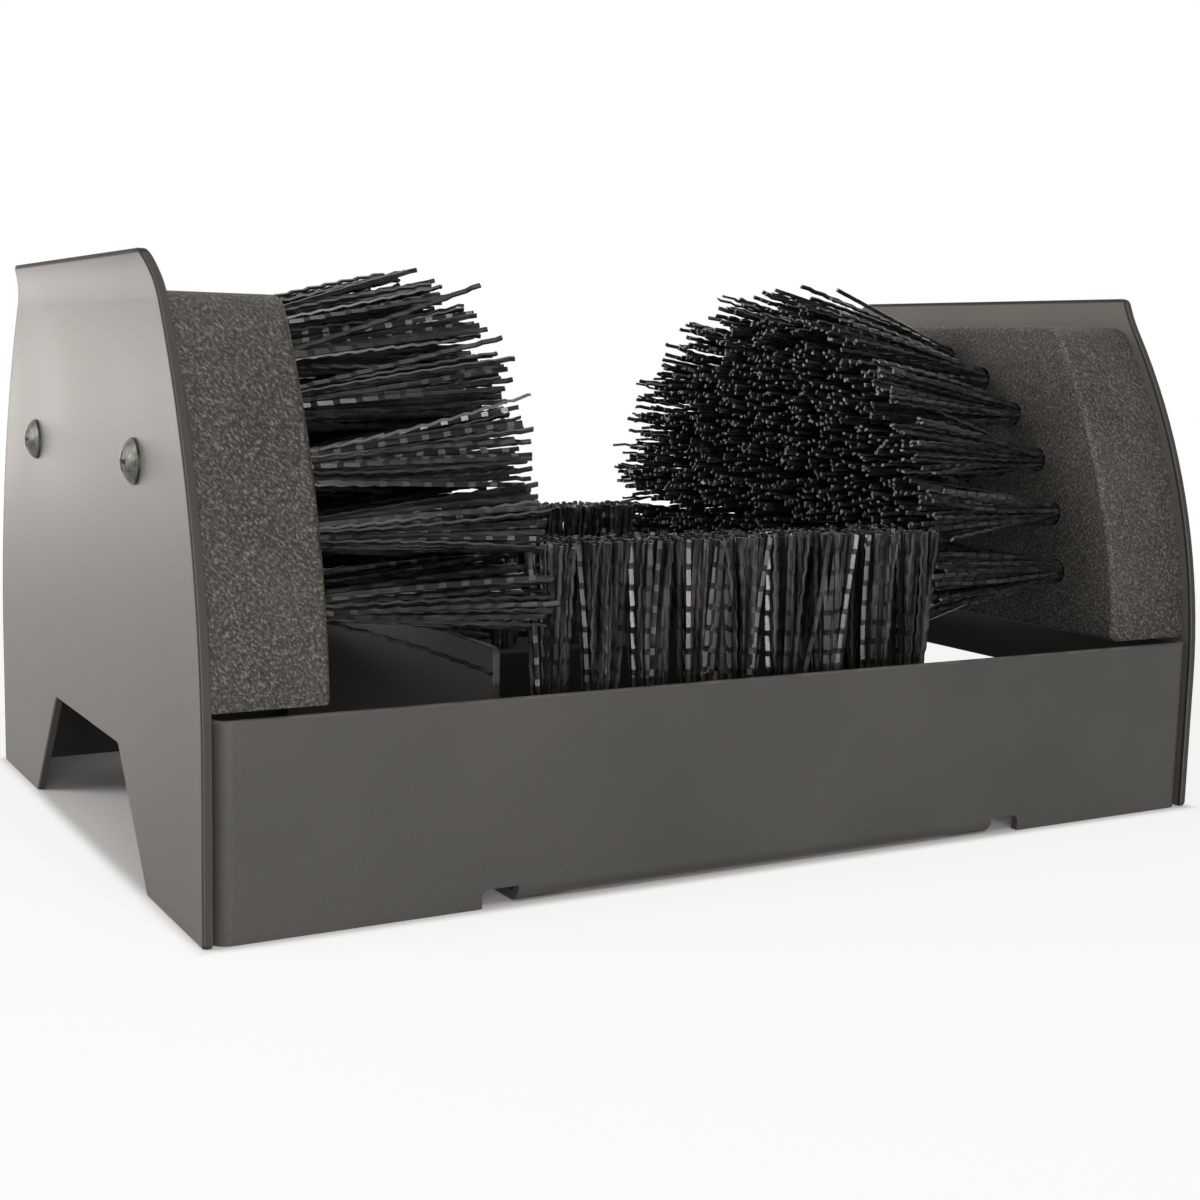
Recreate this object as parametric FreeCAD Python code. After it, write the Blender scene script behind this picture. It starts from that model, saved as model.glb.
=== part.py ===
"""Boot scrubber: a bent sheet-steel stand with a brush at each side and two brush strips at the bottom.

The stand has two end plates welded to a base channel. The channel is one bent sheet: a front rail,
a rear rail, a web between them that carries the two bottom strips, and an upright flange at each side
of the web. Beside the web the base is open, so that dirt falls through. Each end plate carries a brush
block, held by two pan-head screws from outside. The strips' blocks are held by countersunk screws that
end flush with the underside of the web.

Frame: X along the length, Y to the back, Z up. The origin is at the middle of the footprint, on the
surface that the object stands on.
"""
import FreeCAD, Part
import math
import os

from FreeCAD import Vector

# Overall size
LENGTH = 330.0
DEPTH = 220.0
HEIGHT = 165.0
SHEET = 2.5
SHEET_EDGE_RADIUS = 0.6

# End plate outline, seen along X
PLATE_ARC_RADIUS = 204.0
PLATE_ARC_START = 43.0
PLATE_TOP_CORNER = 5.0
PLATE_FOOT_CORNER = 1.5
FLARE_HEIGHT = 12.0
FLARE_RADIUS = 26.0
FLARE_OVERSHOOT_SHARE = 1.15
LEG_GAP_HEIGHT = 35.0
LEG_GAP_TOP = 70.4
LEG_GAP_BOTTOM = 124.8
LEG_GAP_CORNER = 1.5

# Base channel
RAIL_HEIGHT = 54.5
RAIL_SETBACK = 0.5
TAB_LENGTH = 18.0
BEND_OUTSIDE = 5.0
WEB_LENGTH = 162.0
RELIEF_WIDTH = 10.6
RELIEF_CORNER = 2.0
RAIL_EDGE_RADIUS = 0.8
FLANGE_SETBACK = 6.0
FLANGE_HEIGHT = 62.5
FLANGE_OVERLAP = 10.2
FLANGE_RELIEF = 3.0
FLANGE_CORNER = 3.0

# Brush blocks: one thickness for all, and the side blocks' outline
BLOCK_THICKNESS = 31.0
BLOCK_BOTTOM = 56.0
BLOCK_TOP = 155.0
BLOCK_SETBACK = 3.5
BLOCK_TOP_CORNER = 9.0
BLOCK_EDGE_RADIUS = 1.6

# Bottom strips' blocks
STRIP_RAIL_GAP = 10.0
STRIP_FLANGE_CLEARANCE = 0.5
STRIP_CORNER = 6.0

# Tufts: a bundle of bristles folded over a flat wire staple in each hole
HOLE_DIAMETER = 8.0
HOLE_DEPTH = 14.5
TUFT_CLEARANCE = 0.1
STAPLE_THICKNESS = 0.6
STAPLE_WIDTH = 7.4
STAPLE_HEIGHT = 2.5

# Side brushes: the holes lie on arches, one inside another, and the bristles splay out from the middle
ARCH_COUNTS = (13, 11, 9, 6, 3)
ARCH_SIDE_MARGIN = 25.4
ARCH_TOP_MARGIN = 8.5
ARCH_BOTTOM_MARGIN = 16.0
ARCH_END_LIFT = 3.4
SIDE_SPLAY_SHARE = 0.135
SIDE_TUFT_TIP = 15.4
SIDE_TIP_GAP = 130.0
SIDE_TIP_TO_STRIP = 1.2

# Bottom strips: two staggered rows of holes in each, no closer than the hole spacing
STRIP_HOLE_SPACING = 15.5
STRIP_ROW_GAP = 11.0
STRIP_EDGE_MARGIN = 8.0
STRIP_END_MARGIN = 7.2
STRIP_TUFT_TIP = 13.0
STRIP_END_SPLAY = 1.0
FRONT_TIP_HEIGHT = 92.0
REAR_TIP_HEIGHT = 86.0

# Side brush screws, pan head
SIDE_SCREW_DIAMETER = 6.0
SIDE_SCREW_REACH = 16.0
SIDE_SCREW_HEAD = 12.0
SIDE_SCREW_HEAD_HEIGHT = 3.4
SIDE_SCREW_RIM = 0.7
SIDE_SCREW_SPACING = 109.2
SIDE_SCREW_HEIGHT = 112.2

# Bottom strip screws, countersunk
BASE_SCREW_DIAMETER = 5.0
BASE_SCREW_REACH = 12.0
BASE_SCREW_HEAD = 9.4
BASE_SCREW_END_MARGIN = 23.0

# All screws
PLATE_HOLE_CLEARANCE = 0.3
THREAD_CLEARANCE = 0.1
PILOT_SPARE = 0.8
SCREW_POINT = 0.8
CROSS_WIDTH = 1.2
CROSS_LENGTH = 6.2
CROSS_DEPTH = 1.8
CROSS_FLOOR_SHARE = 0.4

# One overrun for all cuts, and how close two lengths are to count as the same
CUT = 5.0
SAME = 1e-6

PLATE_INNER = LENGTH / 2 - SHEET
BLOCK_FACE = PLATE_INNER - BLOCK_THICKNESS
HALF_DEPTH = DEPTH / 2
ARC_CENTRE_Y = HALF_DEPTH - PLATE_ARC_RADIUS
RAIL_OUTER = HALF_DEPTH - RAIL_SETBACK
TUFT_ROOT_RADIUS = HOLE_DIAMETER / 2 - TUFT_CLEARANCE
STRIP_OUTER = RAIL_OUTER - SHEET - STRIP_RAIL_GAP
STRIP_DEPTH = 2 * STRIP_EDGE_MARGIN + STRIP_ROW_GAP
STRIP_INNER = STRIP_OUTER - STRIP_DEPTH
FLANGE_OUTER = WEB_LENGTH / 2 - FLANGE_SETBACK
STRIP_HALF = FLANGE_OUTER - BEND_OUTSIDE - STRIP_FLANGE_CLEARANCE
STRIP_TUFT_HALF = STRIP_HALF - STRIP_END_MARGIN
STRIP_TOP = SHEET + BLOCK_THICKNESS
FLANGE_END = STRIP_INNER + FLANGE_OVERLAP
ARCH_CENTRE = BLOCK_BOTTOM + ARCH_BOTTOM_MARGIN
ARCH_RISE = BLOCK_TOP - ARCH_TOP_MARGIN - ARCH_CENTRE

X_AXIS = Vector(1, 0, 0)
Y_AXIS = Vector(0, 1, 0)
Z_AXIS = Vector(0, 0, 1)
ORIGIN = Vector(0, 0, 0)


def box(x, y, z):
    """A box from three (low, high) pairs."""
    return Part.makeBox(x[1] - x[0], y[1] - y[0], z[1] - z[0], Vector(x[0], y[0], z[0]))


def line(a, b):
    """A straight edge."""
    return Part.makeLine(a, b)


def arc(a, middle, b):
    """An edge on a circle through three points."""
    return Part.Arc(a, middle, b).toShape()


def prism(edges, direction):
    """A closed outline pushed along a direction."""
    return Part.Face(Part.Wire(edges)).extrude(direction)


def mirrored(shape, normal):
    """The shape on the other side of the plane through the origin."""
    return shape.mirror(ORIGIN, normal)


def edges_where(shape, test):
    """The edges whose two ends pass a test; closed edges are left out."""
    return [e for e in shape.Edges if len(e.Vertexes) == 2 and all(test(v.Point) for v in e.Vertexes)]


def near(a, b):
    """Whether two lengths are the same."""
    return math.isclose(a, b, abs_tol=SAME)


def runs_along_x(edge):
    """Whether an edge's ends differ in X alone."""
    a, b = (v.Point for v in edge.Vertexes)
    return near(a.y, b.y) and near(a.z, b.z)


def edge_half_depth(z, inset):
    """Half the depth of the plate's outline at a height, drawn in by an inset."""
    radius = PLATE_ARC_RADIUS - inset
    above = max(z - PLATE_ARC_START, 0)
    return ARC_CENTRE_Y + math.sqrt(radius * radius - above * above)


def arched_outline(x, bottom, top, inset):
    """The edges of the plate's arched outline between two heights, in the plane at x."""
    start = max(bottom, PLATE_ARC_START)
    middle = (start + top) / 2

    def at(side, z):
        return Vector(x, side * edge_half_depth(z, inset), z)

    edges = [
        line(at(-1, bottom), at(1, bottom)),
        arc(at(1, start), at(1, middle), at(1, top)),
        line(at(1, top), at(-1, top)),
        arc(at(-1, top), at(-1, middle), at(-1, start)),
    ]
    if bottom < start:
        edges.insert(1, line(at(1, bottom), at(1, start)))
        edges.append(line(at(-1, start), at(-1, bottom)))
    return edges


def fillet_along_x(shape, height, radius):
    """Round the edges along X at one height."""
    found = [e for e in edges_where(shape, lambda p: near(p.z, height)) if runs_along_x(e)]
    return shape.makeFillet(radius, found)


def flared_sheet():
    """A flat sheet at the right end whose top bends gently outward."""
    outer = LENGTH / 2
    bend = HEIGHT - FLARE_HEIGHT
    centre_x = outer + FLARE_RADIUS
    sweep = math.asin(FLARE_HEIGHT / FLARE_RADIUS) * FLARE_OVERSHOOT_SHARE

    def at(radius, angle):
        return Vector(centre_x - radius * math.cos(angle), -DEPTH, bend + radius * math.sin(angle))

    inner_radius = FLARE_RADIUS + SHEET
    low_inner = Vector(PLATE_INNER, -DEPTH, -CUT)
    low_outer = Vector(outer, -DEPTH, -CUT)
    edges = [
        line(low_inner, low_outer),
        line(low_outer, at(FLARE_RADIUS, 0)),
        arc(at(FLARE_RADIUS, 0), at(FLARE_RADIUS, sweep / 2), at(FLARE_RADIUS, sweep)),
        line(at(FLARE_RADIUS, sweep), at(inner_radius, sweep)),
        arc(at(inner_radius, sweep), at(inner_radius, sweep / 2), at(inner_radius, 0)),
        line(at(inner_radius, 0), low_inner),
    ]
    return prism(edges, Vector(0, 2 * DEPTH, 0))


def leg_gap():
    """The cutter for the opening between the two feet of an end plate."""
    x = PLATE_INNER - CUT
    low, high = LEG_GAP_BOTTOM / 2, LEG_GAP_TOP / 2
    slope = (low - high) / LEG_GAP_HEIGHT
    below = low + slope * CUT
    outline = [(-below, -CUT), (-high, LEG_GAP_HEIGHT), (high, LEG_GAP_HEIGHT), (below, -CUT)]
    points = [Vector(x, y, z) for y, z in outline]
    edges = [line(a, b) for a, b in zip(points, points[1:] + points[:1])]
    solid = prism(edges, Vector(SHEET + 2 * CUT, 0, 0))
    return fillet_along_x(solid, LEG_GAP_HEIGHT, LEG_GAP_CORNER)


def screw_places():
    """Where the side brush screws pass through an end plate, as (y, z)."""
    return [(side * SIDE_SCREW_SPACING / 2, SIDE_SCREW_HEIGHT) for side in (-1, 1)]


def right_end_plate():
    """The right end plate: arched sheet with two feet and a flared top edge."""
    x = PLATE_INNER - CUT
    outline = prism(arched_outline(x, 0, HEIGHT, 0), Vector(SHEET + FLARE_HEIGHT + 2 * CUT, 0, 0))
    outline = fillet_along_x(outline, HEIGHT, PLATE_TOP_CORNER)
    outline = outline.cut(leg_gap())
    outline = fillet_along_x(outline, 0, PLATE_FOOT_CORNER)
    plate = flared_sheet().common(outline)
    plate = plate.makeFillet(SHEET_EDGE_RADIUS, [e for e in plate.Edges if not runs_along_x(e)])
    radius = SIDE_SCREW_DIAMETER / 2 + PLATE_HOLE_CLEARANCE
    for y, z in screw_places():
        plate = plate.cut(Part.makeCylinder(radius, SHEET + 2 * CUT, Vector(x, y, z), X_AXIS))
    return plate


def front_rail():
    """The front rail with its end tabs, before the bend and the reliefs below."""
    inner = PLATE_INNER - SHEET
    bend = BEND_OUTSIDE
    turn = bend * math.sqrt(2) / 2
    inner_turn = (bend - SHEET) * math.sqrt(2) / 2
    y0, y1, y2 = -RAIL_OUTER, -RAIL_OUTER + bend, -RAIL_OUTER + TAB_LENGTH
    x0 = PLATE_INNER - bend

    def at(x, y):
        return Vector(x, y, 0)

    edges = [
        line(at(-x0, y0), at(x0, y0)),
        arc(at(x0, y0), at(x0 + turn, y1 - turn), at(PLATE_INNER, y1)),
        line(at(PLATE_INNER, y1), at(PLATE_INNER, y2)),
        line(at(PLATE_INNER, y2), at(inner, y2)),
        line(at(inner, y2), at(inner, y1)),
        arc(at(inner, y1), at(x0 + inner_turn, y1 - inner_turn), at(x0, y0 + SHEET)),
        line(at(x0, y0 + SHEET), at(-x0, y0 + SHEET)),
        arc(at(-x0, y0 + SHEET), at(-x0 - inner_turn, y1 - inner_turn), at(-inner, y1)),
        line(at(-inner, y1), at(-inner, y2)),
        line(at(-inner, y2), at(-PLATE_INNER, y2)),
        line(at(-PLATE_INNER, y2), at(-PLATE_INNER, y1)),
        arc(at(-PLATE_INNER, y1), at(-x0 - turn, y1 - turn), at(-x0, y0)),
    ]
    return prism(edges, Vector(0, 0, RAIL_HEIGHT))


def relief_cut():
    """The cutter that takes the lower edge off both rails, out to the ends of the bend reliefs."""
    half = WEB_LENGTH / 2 + RELIEF_WIDTH
    solid = box((-half, half), (-DEPTH, DEPTH), (-CUT, BEND_OUTSIDE))
    ends = edges_where(solid, lambda p: near(p.z, BEND_OUTSIDE) and near(abs(p.x), half))
    return solid.makeFillet(RELIEF_CORNER, ends)


def web():
    """The web with its two bends, up to the rails' cut edges."""
    bend = BEND_OUTSIDE
    turn = bend * math.sqrt(2) / 2
    inner_turn = (bend - SHEET) * math.sqrt(2) / 2
    x = -WEB_LENGTH / 2
    y0, y1 = RAIL_OUTER, RAIL_OUTER - bend

    def at(y, z):
        return Vector(x, y, z)

    edges = [
        line(at(-y1, 0), at(y1, 0)),
        arc(at(y1, 0), at(y1 + turn, bend - turn), at(y0, bend)),
        line(at(y0, bend), at(y0 - SHEET, bend)),
        arc(at(y0 - SHEET, bend), at(y1 + inner_turn, bend - inner_turn), at(y1, SHEET)),
        line(at(y1, SHEET), at(-y1, SHEET)),
        arc(at(-y1, SHEET), at(-y1 - inner_turn, bend - inner_turn), at(-y0 + SHEET, bend)),
        line(at(-y0 + SHEET, bend), at(-y0, bend)),
        arc(at(-y0, bend), at(-y1 - turn, bend - turn), at(-y1, 0)),
    ]
    return prism(edges, Vector(WEB_LENGTH, 0, 0))


def right_flange():
    """The upright flange at the right side of the web, from the web's flat part up."""
    bend = BEND_OUTSIDE
    turn = bend * math.sqrt(2) / 2
    inner_turn = (bend - SHEET) * math.sqrt(2) / 2
    outer = FLANGE_OUTER
    x0 = outer - bend

    def at(x, z):
        return Vector(x, -FLANGE_END, z)

    edges = [
        line(at(x0, SHEET), at(x0, 0)),
        arc(at(x0, 0), at(x0 + turn, bend - turn), at(outer, bend)),
        line(at(outer, bend), at(outer, FLANGE_HEIGHT)),
        line(at(outer, FLANGE_HEIGHT), at(outer - SHEET, FLANGE_HEIGHT)),
        line(at(outer - SHEET, FLANGE_HEIGHT), at(outer - SHEET, bend)),
        arc(at(outer - SHEET, bend), at(x0 + inner_turn, bend - inner_turn), at(x0, SHEET)),
    ]
    flange = prism(edges, Vector(0, 2 * FLANGE_END, 0))
    flange = fillet_along_x(flange, FLANGE_HEIGHT, FLANGE_CORNER)
    level = FLANGE_HEIGHT - FLANGE_CORNER - SAME
    return flange.makeFillet(SHEET_EDGE_RADIUS, edges_along_sheet(flange, level))


def edges_along_sheet(shape, level):
    """The edges above a level that don't cross the sheet's thickness."""
    above = edges_where(shape, lambda p: p.z > level)
    return [e for e in above if not runs_along_x(e)]


def flange_cut():
    """The cutter that narrows the web between the flanges' relief slots."""
    low, high = FLANGE_OUTER - BEND_OUTSIDE, WEB_LENGTH / 2 + CUT
    end = FLANGE_END + FLANGE_RELIEF
    return box((low, high), (-end, end), (-CUT, BEND_OUTSIDE))


def base_screw_places():
    """Where the countersunk screws pass through the web, as (x, y)."""
    x, y = STRIP_HALF - BASE_SCREW_END_MARGIN, (STRIP_OUTER + STRIP_INNER) / 2
    return [(i * x, j * y) for i in (-1, 1) for j in (-1, 1)]


def countersink(clearance, over):
    """A countersunk head's cone about Z, widest at the surface below, grown by a clearance."""
    high = (BASE_SCREW_HEAD - BASE_SCREW_DIAMETER) / 2
    wide = BASE_SCREW_HEAD / 2 + clearance
    return Part.makeCone(wide + over, wide - high, high + over, Vector(0, 0, -over), Z_AXIS)


def base_channel():
    """The rails, the web and the web's flanges as one bent sheet."""
    rail, flange, narrow = front_rail(), right_flange(), flange_cut()
    rails = rail.fuse(mirrored(rail, Y_AXIS)).cut(relief_cut())
    floor = web().cut(narrow).cut(mirrored(narrow, X_AXIS))
    channel = rails.fuse(floor).removeSplitter()
    channel = channel.makeFillet(RAIL_EDGE_RADIUS, edges_where(channel, lambda p: near(p.z, RAIL_HEIGHT)))
    channel = channel.fuse(flange).fuse(mirrored(flange, X_AXIS)).removeSplitter()
    radius = BASE_SCREW_DIAMETER / 2 + PLATE_HOLE_CLEARANCE
    for x, y in base_screw_places():
        hole = Part.makeCylinder(radius, SHEET + 2 * CUT, Vector(0, 0, -CUT), Z_AXIS)
        hole = hole.fuse(countersink(THREAD_CLEARANCE, CUT))
        channel = channel.cut(hole.translated(Vector(x, y, 0)))
    return channel


def spread(half, count):
    """Places spaced evenly from one end to the other."""
    return [half * (2 * i / (count - 1) - 1) for i in range(count)]


def side_arch(arch):
    """The places of the holes on one arch of a side block, counted from the outermost, as (y, z)."""
    share = 1 - arch / len(ARCH_COUNTS)
    half = (edge_half_depth(ARCH_CENTRE, BLOCK_SETBACK) - ARCH_SIDE_MARGIN) * share
    rise = ARCH_RISE * share
    start = math.asin(ARCH_END_LIFT / rise)
    turns = spread(math.pi / 2 - start, ARCH_COUNTS[arch])
    return [(half * math.sin(turn), ARCH_CENTRE + rise * math.cos(turn)) for turn in turns]


def side_places():
    """The places of all the holes in a side block, as (y, z)."""
    return [place for arch in range(len(ARCH_COUNTS)) for place in side_arch(arch)]


def side_tip(y, z):
    """The middle of a side tuft's trimmed end. Where it would reach a bottom strip, it stops short."""
    tip_y = y * (1 + SIDE_SPLAY_SHARE)
    tip_z = ARCH_CENTRE + (z - ARCH_CENTRE) * (1 + SIDE_SPLAY_SHARE)
    reach = SIDE_TUFT_TIP / 2 + SIDE_TIP_TO_STRIP
    inner = STRIP_INNER + STRIP_EDGE_MARGIN - STRIP_TUFT_TIP / 2
    meets = abs(tip_y) + reach > inner and tip_z - reach < FRONT_TIP_HEIGHT
    strip = STRIP_TUFT_HALF + STRIP_END_SPLAY + STRIP_TUFT_TIP / 2
    tip_x = strip + SIDE_TIP_TO_STRIP if meets else SIDE_TIP_GAP / 2
    return Vector(tip_x, tip_y, tip_z)


def front_strip_row(row):
    """The places of one row of the front strip, as (x, y): 0 is the outer row, 1 the staggered inner one."""
    y = -STRIP_OUTER + STRIP_EDGE_MARGIN + row * STRIP_ROW_GAP
    gaps = int(2 * STRIP_TUFT_HALF / STRIP_HOLE_SPACING)
    step = STRIP_TUFT_HALF / gaps
    return [(x, y) for x in spread(STRIP_TUFT_HALF - row * step, gaps + 1 - row)]


def front_strip_places():
    """The places of all the holes in the front strip, as (x, y)."""
    return front_strip_row(0) + front_strip_row(1)


def tuft(axis, root, face, tip, tip_diameter):
    """One tuft: straight in its hole, then flaring to its trimmed end."""
    circles = [(root, TUFT_ROOT_RADIUS), (face, TUFT_ROOT_RADIUS), (tip, tip_diameter / 2)]
    wires = [Part.Wire(Part.makeCircle(radius, centre, axis)) for centre, radius in circles]
    return Part.makeLoft(wires, True, True)


def right_block():
    """The right brush block with its tuft holes and two pilot holes."""
    outline = arched_outline(BLOCK_FACE, BLOCK_BOTTOM, BLOCK_TOP, BLOCK_SETBACK)
    block = prism(outline, Vector(BLOCK_THICKNESS, 0, 0))
    block = fillet_along_x(block, BLOCK_TOP, BLOCK_TOP_CORNER)
    block = block.makeFillet(BLOCK_EDGE_RADIUS, edges_where(block, lambda p: near(p.x, BLOCK_FACE)))
    for y, z in side_places():
        start = Vector(BLOCK_FACE - CUT, y, z)
        block = block.cut(Part.makeCylinder(HOLE_DIAMETER / 2, HOLE_DEPTH + CUT, start, X_AXIS))
    radius = SIDE_SCREW_DIAMETER / 2 + THREAD_CLEARANCE
    depth = SIDE_SCREW_REACH - SHEET + PILOT_SPARE
    for y, z in screw_places():
        start = Vector(PLATE_INNER + CUT, y, z)
        block = block.cut(Part.makeCylinder(radius, depth + CUT, start, -X_AXIS))
    return block


def right_tufts(arch):
    """The tufts on one arch of the right brush."""
    root_x = BLOCK_FACE + HOLE_DEPTH - STAPLE_HEIGHT
    tufts = []
    for y, z in side_arch(arch):
        root, face = Vector(root_x, y, z), Vector(BLOCK_FACE, y, z)
        tufts.append(tuft(-X_AXIS, root, face, side_tip(y, z), SIDE_TUFT_TIP))
    return tufts


def right_staples():
    """The flat wire staples at the bottom of the right block's holes."""
    x = BLOCK_FACE + HOLE_DEPTH - STAPLE_HEIGHT
    staples = []
    for y, z in side_places():
        ys = (y - STAPLE_WIDTH / 2, y + STAPLE_WIDTH / 2)
        zs = (z - STAPLE_THICKNESS / 2, z + STAPLE_THICKNESS / 2)
        staples.append(box((x, x + STAPLE_HEIGHT), ys, zs))
    return staples


def front_strip_block():
    """The front strip's block with its tuft holes and two pilot holes."""
    block = box((-STRIP_HALF, STRIP_HALF), (-STRIP_OUTER, -STRIP_INNER), (SHEET, STRIP_TOP))
    upright = [e for e in block.Edges if not near(e.Vertexes[0].Point.z, e.Vertexes[1].Point.z)]
    block = block.makeFillet(STRIP_CORNER, upright)
    block = block.makeFillet(BLOCK_EDGE_RADIUS, edges_where(block, lambda p: near(p.z, STRIP_TOP)))
    for x, y in front_strip_places():
        start = Vector(x, y, STRIP_TOP + CUT)
        block = block.cut(Part.makeCylinder(HOLE_DIAMETER / 2, HOLE_DEPTH + CUT, start, -Z_AXIS))
    radius = BASE_SCREW_DIAMETER / 2 + THREAD_CLEARANCE
    depth = BASE_SCREW_REACH - SHEET + PILOT_SPARE
    for x, y in base_screw_places():
        start = Vector(x, y, SHEET - CUT)
        block = block.cut(Part.makeCylinder(radius, depth + CUT, start, Z_AXIS))
    return block


def front_strip_tufts(row, tip_height):
    """The tufts of one row of the front strip, which lean out a little towards its ends."""
    root_z = STRIP_TOP - HOLE_DEPTH + STAPLE_HEIGHT
    tufts = []
    for x, y in front_strip_row(row):
        root, face = Vector(x, y, root_z), Vector(x, y, STRIP_TOP)
        tip = Vector(x + STRIP_END_SPLAY * x / STRIP_TUFT_HALF, y, tip_height)
        tufts.append(tuft(Z_AXIS, root, face, tip, STRIP_TUFT_TIP))
    return tufts


def front_strip_staples():
    """The flat wire staples at the bottom of the front strip's holes."""
    z = STRIP_TOP - HOLE_DEPTH
    staples = []
    for x, y in front_strip_places():
        xs = (x - STAPLE_WIDTH / 2, x + STAPLE_WIDTH / 2)
        ys = (y - STAPLE_THICKNESS / 2, y + STAPLE_THICKNESS / 2)
        staples.append(box(xs, ys, (z, z + STAPLE_HEIGHT)))
    return staples


def revolved(points, bulge):
    """A profile of (radius, height) points turned about Z; bulge names the point that starts an arc."""
    corners = [Vector(r, 0, z) for r, z in points]
    edges = []
    for i, (a, b) in enumerate(zip(corners, corners[1:] + corners[:1])):
        edges.append(arc(a, bulge[1], b) if i == bulge[0] else line(a, b))
    return Part.Face(Part.Wire(edges)).revolve(ORIGIN, Z_AXIS, 360)


def cross_recess(top):
    """The cutter for a cross recess below a height, with its arms tapering in."""
    half, wide = CROSS_LENGTH / 2, CROSS_WIDTH / 2
    arm = box((-half, half), (-wide, wide), (top - CROSS_DEPTH, top + CUT))
    low = CROSS_LENGTH * CROSS_FLOOR_SHARE / 2
    slope = (CROSS_LENGTH / 2 - low) / CROSS_DEPTH
    high = low + slope * (CROSS_DEPTH + CUT)
    cone = Part.makeCone(low, high, CROSS_DEPTH + CUT, Vector(0, 0, top - CROSS_DEPTH), Z_AXIS)
    cross = arm.fuse(arm.rotated(ORIGIN, Z_AXIS, 90))
    return cross.common(cone)


def pan_head_screw():
    """A pan-head screw about Z, with the underside of its head at zero and its head up."""
    shank, head = SIDE_SCREW_DIAMETER / 2, SIDE_SCREW_HEAD / 2
    rise = SIDE_SCREW_HEAD_HEIGHT - SIDE_SCREW_RIM
    dome = (head * head + rise * rise) / (2 * rise)
    half = head / 2
    middle = Vector(half, 0, SIDE_SCREW_HEAD_HEIGHT - dome + math.sqrt(dome * dome - half * half))
    points = [
        (0, -SIDE_SCREW_REACH),
        (shank - SCREW_POINT, -SIDE_SCREW_REACH),
        (shank, -SIDE_SCREW_REACH + SCREW_POINT),
        (shank, 0),
        (head, 0),
        (head, SIDE_SCREW_RIM),
        (0, SIDE_SCREW_HEAD_HEIGHT),
    ]
    return revolved(points, (5, middle)).cut(cross_recess(SIDE_SCREW_HEAD_HEIGHT))


def countersunk_screw():
    """A countersunk screw about Z, its flat face at zero and its point up."""
    shank = BASE_SCREW_DIAMETER / 2
    full = BASE_SCREW_REACH - SCREW_POINT
    body = Part.makeCylinder(shank, full)
    point = Part.makeCone(shank, shank - SCREW_POINT, SCREW_POINT, Vector(0, 0, full), Z_AXIS)
    screw = body.fuse(point).fuse(countersink(0, 0)).removeSplitter()
    recess = cross_recess(0).rotated(ORIGIN, X_AXIS, 180)
    return screw.cut(recess)


def right_screws():
    """The two pan-head screws of the right brush."""
    turned = pan_head_screw().rotated(ORIGIN, Y_AXIS, 90)
    return [turned.translated(Vector(LENGTH / 2, y, z)) for y, z in screw_places()]


def strip_screws():
    """The four countersunk screws under the bottom strips."""
    screw = countersunk_screw()
    return [screw.translated(Vector(x, y, 0)) for x, y in base_screw_places()]


def save(name, solids):
    """Write one named piece, or a group of like pieces, as a STEP file."""
    shape = solids[0] if len(solids) == 1 else Part.makeCompound(solids)
    shape.exportStep(os.path.join("parts", name + ".step"))


def save_pair(name, solids):
    """Write a piece of the right end, and its mirror image at the left end."""
    save("right_" + name, solids)
    save("left_" + name, [mirrored(s, X_AXIS) for s in solids])


def save_strip(name, front, rear):
    """Write a piece of the front strip, and one of the rear strip as the mirror image of another."""
    save("front_strip_" + name, front)
    save("rear_strip_" + name, [mirrored(s, Y_AXIS) for s in rear])


def main():
    """Build every piece and write it."""
    os.makedirs("parts", exist_ok=True)
    save("base_channel", [base_channel()])
    save_pair("end_plate", [right_end_plate()])
    save_pair("brush_block", [right_block()])
    save_pair("brush_staples", right_staples())
    save_pair("brush_screws", right_screws())
    for arch in range(len(ARCH_COUNTS)):
        save_pair("brush_tufts_arch_%d" % (arch + 1), right_tufts(arch))
    block, staples = [front_strip_block()], front_strip_staples()
    save_strip("block", block, block)
    save_strip("staples", staples, staples)
    for row, name in enumerate(("tufts_outer_row", "tufts_inner_row")):
        save_strip(name, front_strip_tufts(row, FRONT_TIP_HEIGHT), front_strip_tufts(row, REAR_TIP_HEIGHT))
    save("strip_screws", strip_screws())


main()
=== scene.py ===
"""The boot scrubber's looks: finishes for the stand, blocks and screws, and each bristle by itself.

Every bristle is a length of flat crimped nylon wire, cut square. The bristles of one tuft leave
their hole as a tight bundle, fan out, and end where the brush was trimmed.
"""

import logging
import math
from dataclasses import dataclass
from enum import Enum
from typing import Any, Optional, Sequence, Union

import bpy
import numpy as np
from mathutils import Matrix, Vector


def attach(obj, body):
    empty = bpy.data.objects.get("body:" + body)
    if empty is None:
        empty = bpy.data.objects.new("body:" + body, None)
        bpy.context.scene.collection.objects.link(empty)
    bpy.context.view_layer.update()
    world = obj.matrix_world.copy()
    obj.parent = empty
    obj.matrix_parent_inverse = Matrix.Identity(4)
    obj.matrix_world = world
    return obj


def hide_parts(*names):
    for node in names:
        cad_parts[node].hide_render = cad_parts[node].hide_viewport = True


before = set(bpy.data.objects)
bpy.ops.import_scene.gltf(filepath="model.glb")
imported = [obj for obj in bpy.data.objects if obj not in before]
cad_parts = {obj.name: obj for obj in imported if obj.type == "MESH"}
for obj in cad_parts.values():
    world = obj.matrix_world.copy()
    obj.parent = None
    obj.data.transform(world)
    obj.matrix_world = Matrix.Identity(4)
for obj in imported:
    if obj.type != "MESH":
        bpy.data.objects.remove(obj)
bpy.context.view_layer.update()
LOG = logging.getLogger("boot_scrubber")
MM = 0.001

Colour = tuple[float, float, float]
Number = Union["Value", float]
Point = tuple[float, float, float]
Range = tuple[float, float]

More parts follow.
